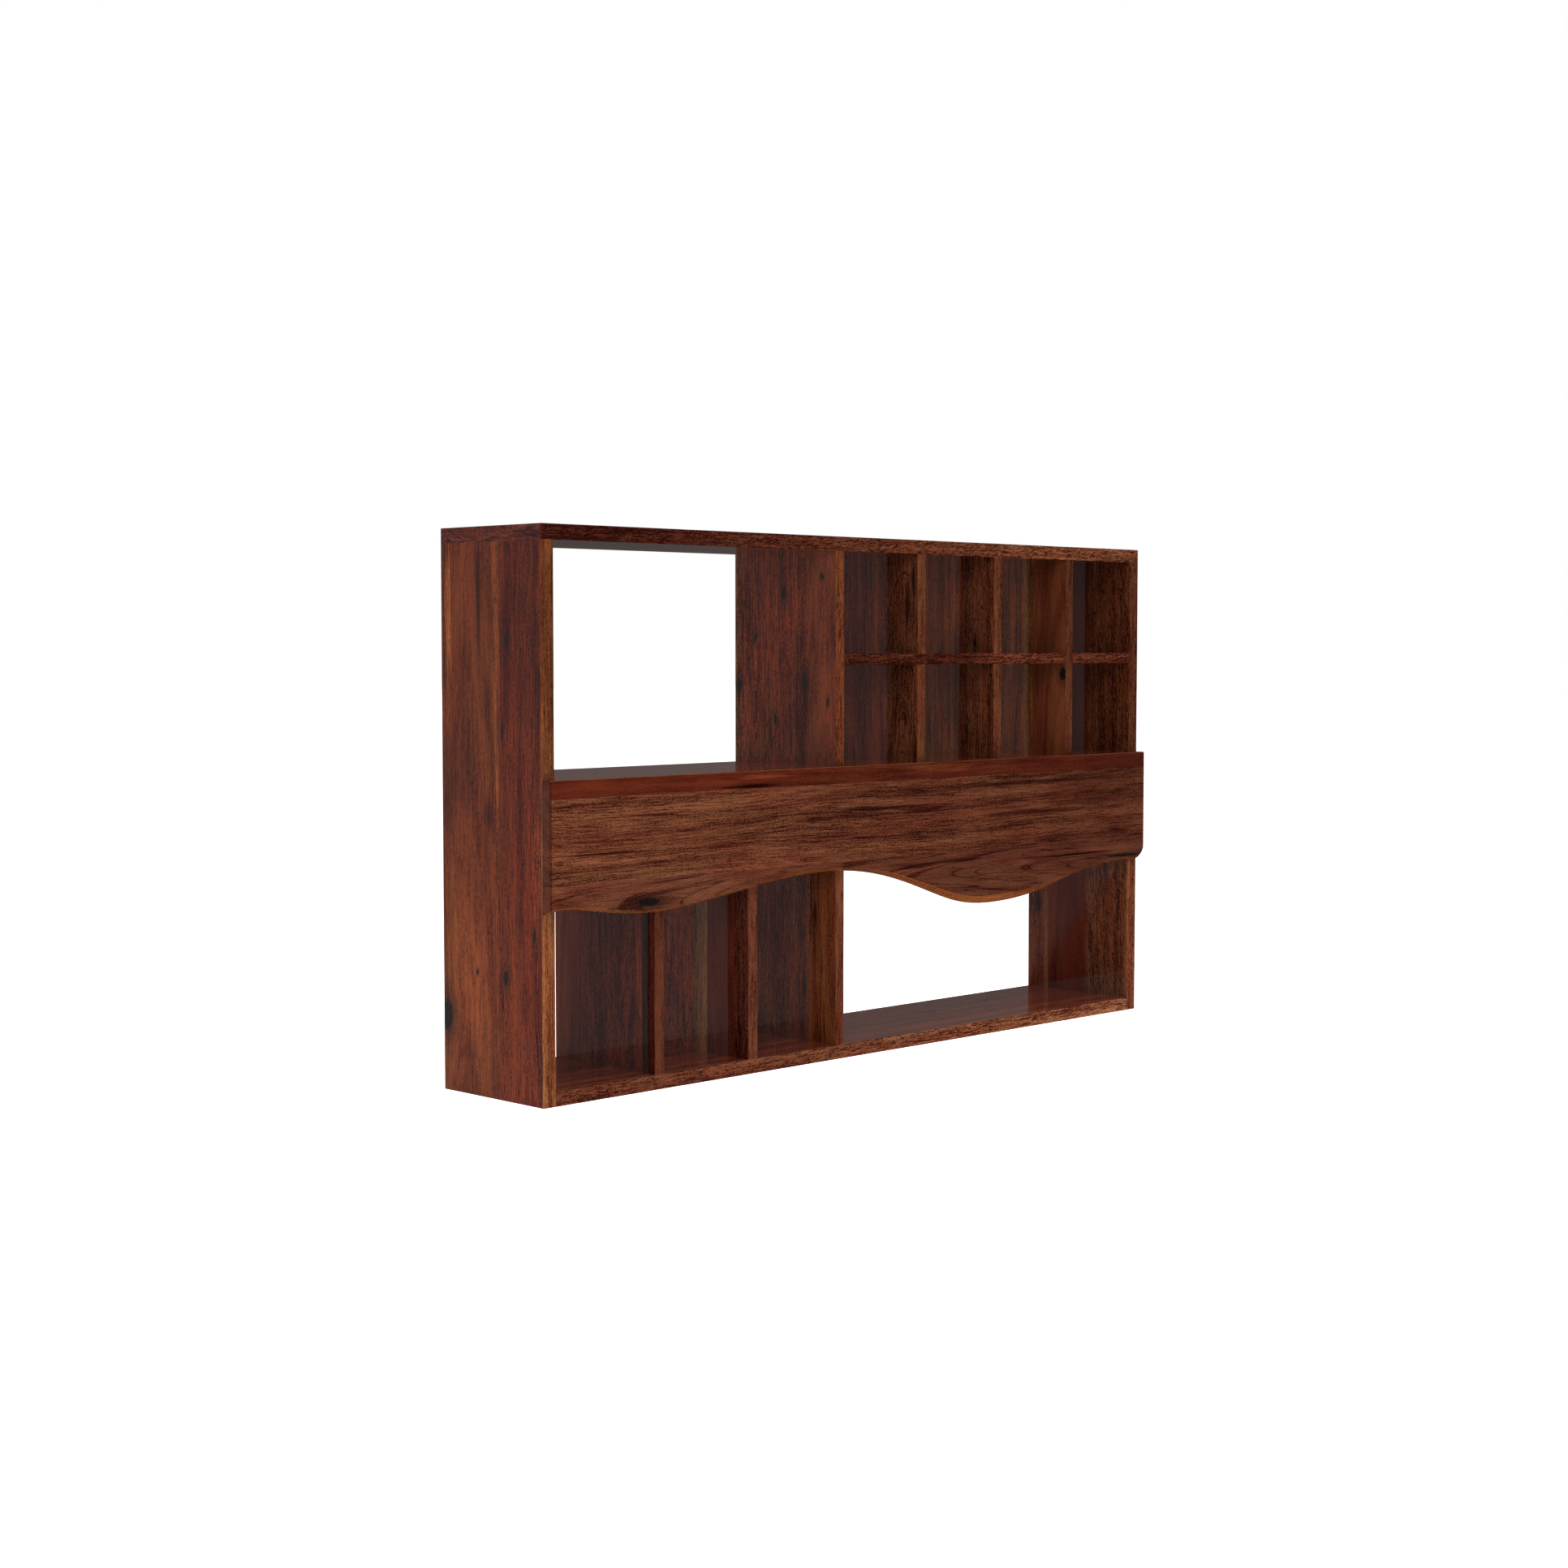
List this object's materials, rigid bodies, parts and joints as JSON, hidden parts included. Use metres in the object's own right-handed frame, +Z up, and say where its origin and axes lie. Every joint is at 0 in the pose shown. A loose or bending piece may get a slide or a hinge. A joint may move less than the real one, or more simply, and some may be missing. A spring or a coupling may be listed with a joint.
{
  "type": "desk hutch",
  "caption": "Wide open-backed wooden desk hutch with an open bay and pigeonholes above, tall file slots and an open bay below, and a wavy live-edge apron board across its middle shelf.",
  "frame": {"origin": "centre of the footprint, on the surface that the hutch stands on", "axes": "+X along the width to the right, +Y to the back, +Z up; the apron and the open front face -Y"},
  "size_m": [1.524, 0.274, 0.9144],
  "materials": {
    "case_wood": "dark red-brown rosewood boards under semi-gloss lacquer",
    "divider_wood": "brown rosewood boards under semi-gloss lacquer",
    "apron_wood": "streaked brown rosewood board with a darker top stave, semi-gloss lacquer",
    "dowel_wood": "plain beech, fluted and glued"
  },
  "bodies": {
    "root": {"top_panel": "case_wood", "bottom_panel": "case_wood", "left_side_panel": "case_wood", "right_side_panel": "case_wood", "middle_shelf": "case_wood", "upper_centre_partition": "divider_wood", "lower_centre_partition": "divider_wood", "pigeonhole_divider_1": "divider_wood", "pigeonhole_divider_2": "divider_wood", "pigeonhole_divider_3": "divider_wood", "pigeonhole_cross_shelf": "divider_wood", "file_divider_1": "divider_wood", "file_divider_2": "divider_wood", "live_edge_apron": "apron_wood", "top_panel_dowels": "dowel_wood", "bottom_panel_dowels": "dowel_wood", "middle_shelf_dowels": "dowel_wood", "upper_partition_dowels": "dowel_wood", "lower_partition_dowels": "dowel_wood", "pigeonhole_divider_dowels": "dowel_wood", "cross_shelf_dowels": "dowel_wood", "file_divider_dowels": "dowel_wood", "apron_dowels": "dowel_wood"}
  },
  "joints": []
}
